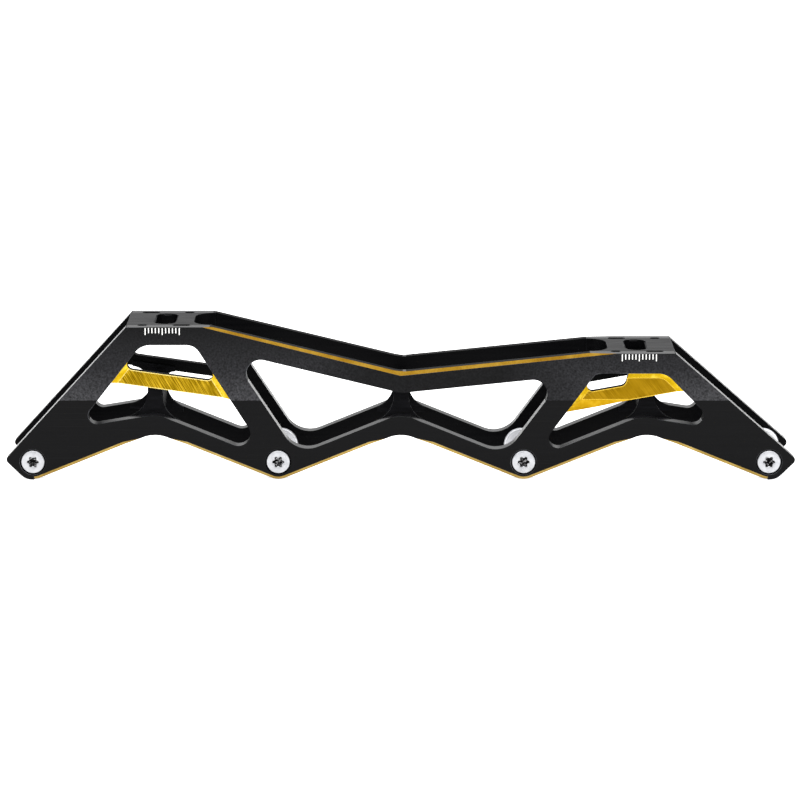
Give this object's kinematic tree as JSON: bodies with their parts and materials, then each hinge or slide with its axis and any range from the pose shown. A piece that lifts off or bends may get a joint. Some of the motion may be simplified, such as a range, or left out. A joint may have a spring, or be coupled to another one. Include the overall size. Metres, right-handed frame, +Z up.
{
  "type": "inline skate frame",
  "caption": "Truss-walled inline skate frame with stepped heel and toe platforms, gold braces, cross bridges and through axles that unscrew and draw out to one side.",
  "frame": {"origin": "under the middle of the frame, midway between the second and third axles and between the walls, level with the lowest points of the axle lobes", "axes": "+X along the frame to the toe, +Y to the left wall that holds the threads, +Z up to the boot"},
  "size_m": [0.3264, 0.036, 0.0644],
  "materials": {
    "black_aluminium": "black anodised, bead blasted",
    "gold_aluminium": "gold anodised over visible milling",
    "bare_aluminium": "turned, bare",
    "axle_metal": "satin, clear anodised"
  },
  "bodies": {
    "frame": {"right_side_wall": "black_aluminium", "left_side_wall": "black_aluminium", "heel_platform": "black_aluminium", "toe_platform": "black_aluminium", "heel_bridge": "black_aluminium", "middle_bridge": "black_aluminium", "toe_bridge": "black_aluminium", "right_heel_brace": "gold_aluminium", "right_toe_brace": "gold_aluminium", "left_heel_brace": "gold_aluminium", "left_toe_brace": "gold_aluminium", "bush_1": "bare_aluminium", "bush_2": "bare_aluminium", "bush_3": "bare_aluminium", "bush_4": "bare_aluminium", "insert_1": "bare_aluminium", "insert_2": "bare_aluminium", "insert_3": "bare_aluminium", "insert_4": "bare_aluminium"},
    "axle_1": {"axle_1": "axle_metal"},
    "axle_2": {"axle_2": "axle_metal"},
    "axle_3": {"axle_3": "axle_metal"},
    "axle_4": {"axle_4": "axle_metal"}
  },
  "joints": [
    {"name": "axle_1_draw", "type": "slide", "parent": "frame", "child": "axle_1", "axis": [0, -1, 0], "range_m": [0, 0.045]},
    {"name": "axle_2_draw", "type": "slide", "parent": "frame", "child": "axle_2", "axis": [0, -1, 0], "range_m": [0, 0.045]},
    {"name": "axle_3_draw", "type": "slide", "parent": "frame", "child": "axle_3", "axis": [0, -1, 0], "range_m": [0, 0.045]},
    {"name": "axle_4_draw", "type": "slide", "parent": "frame", "child": "axle_4", "axis": [0, -1, 0], "range_m": [0, 0.045]}
  ]
}
